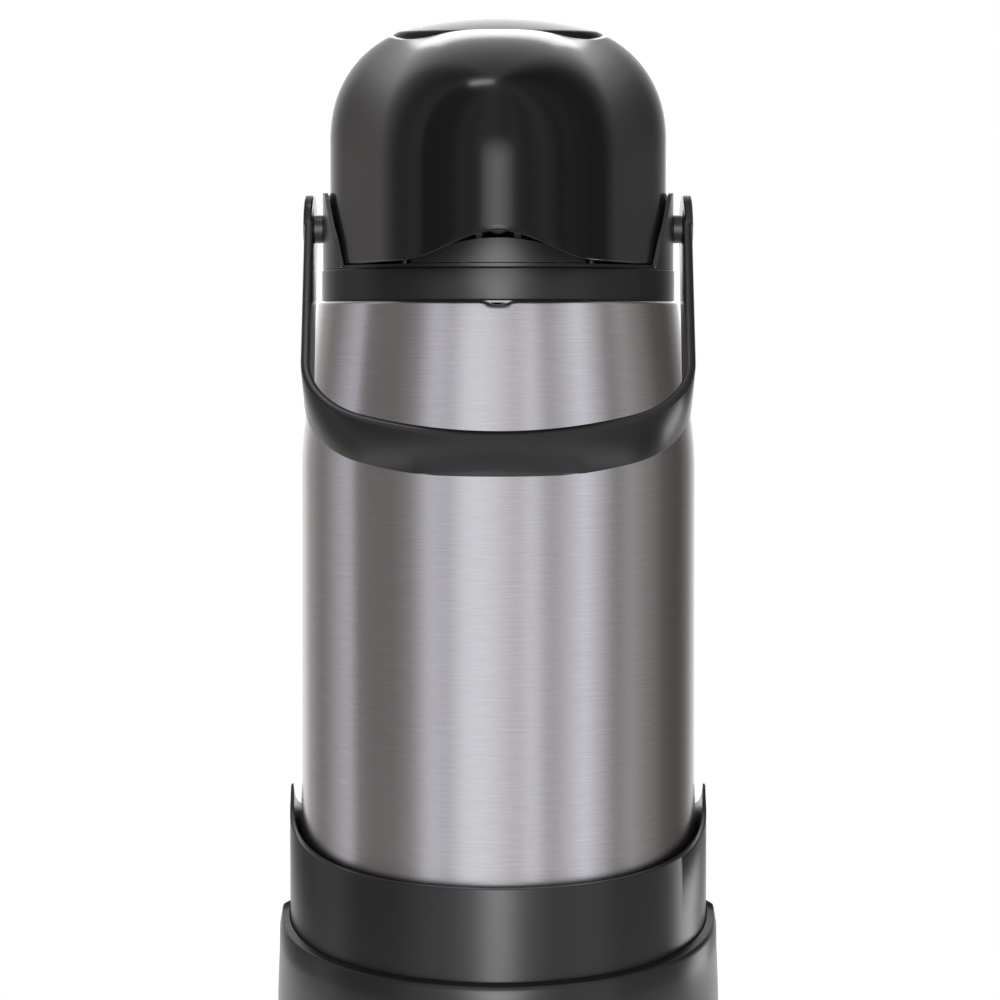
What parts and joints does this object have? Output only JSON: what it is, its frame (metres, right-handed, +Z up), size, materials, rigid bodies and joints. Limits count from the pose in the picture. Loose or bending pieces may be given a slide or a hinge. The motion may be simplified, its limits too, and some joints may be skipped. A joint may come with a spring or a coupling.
{
  "type": "thermal coffee airpot",
  "caption": "Steel-jacketed pump flask with a glass refill, scalloped black base, swing bail and a hinged lid with a beak spout and a press-down top.",
  "frame": {"origin": "middle of the plane the pot stands on, on the jacket's axis", "axes": "+Z up along the jacket's axis, -Y towards the spout, +X to the right of someone facing the spout"},
  "size_m": [0.169, 0.1897, 0.3835],
  "materials": {
    "jacket_steel": "brushed around the body",
    "base_plastic": "satin moulded",
    "ring_plastic": "satin moulded",
    "neck_plastic": "satin moulded",
    "lid_plastic": "gloss moulded",
    "button_plastic": "gloss moulded",
    "bail_plastic": "satin moulded",
    "inner_plastic": "moulded",
    "rubber": "moulded",
    "silicone": "moulded",
    "refill_glass": "silvered between the walls",
    "screw_steel": "plated"
  },
  "bodies": {
    "pot": {"foot_ring": "rubber", "base_foot": "base_plastic", "base_collar": "base_plastic", "base_screws": "screw_steel", "base_plug": "base_plastic", "refill_cushion": "rubber", "steel_jacket": "jacket_steel", "glass_refill": "refill_glass", "tip_guard": "rubber", "mouth_gasket": "silicone", "tube_head": "inner_plastic", "siphon_seal": "silicone", "check_ball": "inner_plastic", "siphon_tube": "inner_plastic", "collar_ring": "ring_plastic", "neck_housing": "neck_plastic", "hinge_pin": "screw_steel", "bail_washers": "neck_plastic", "bail_pins": "neck_plastic"},
    "lid": {"lid_shell": "lid_plastic", "lid_plate": "inner_plastic", "lid_screws": "screw_steel", "air_flap": "silicone", "mouth_seal": "silicone", "delivery_pipe": "inner_plastic", "spout_nozzle": "inner_plastic", "bellows": "rubber", "return_spring": "screw_steel"},
    "button": {"push_button": "button_plastic", "bellows_plate": "inner_plastic"},
    "bail": {"bail_handle": "bail_plastic"},
    "latch": {"latch_panel": "neck_plastic"}
  },
  "joints": [
    {"name": "lid_hinge", "type": "hinge", "parent": "pot", "child": "lid", "pos_m": [0, 0.0695, 0.2915], "axis": [-1, 0, 0], "range_deg": [0, 95]},
    {"name": "button_press", "type": "slide", "parent": "lid", "child": "button", "axis": [0, 0, -1], "range_m": [0, 0.02], "stiffness_N_per_m": 600, "springref_m": -0.01, "deforming": ["bellows", "return_spring"]},
    {"name": "bail_swing", "type": "hinge", "parent": "pot", "child": "bail", "pos_m": [0, 0, 0.3026], "axis": [-1, 0, 0], "range_deg": [0, 267]},
    {"name": "latch_slide", "type": "slide", "parent": "pot", "child": "latch", "axis": [0, 1, 0], "range_m": [0, 0.002]}
  ]
}
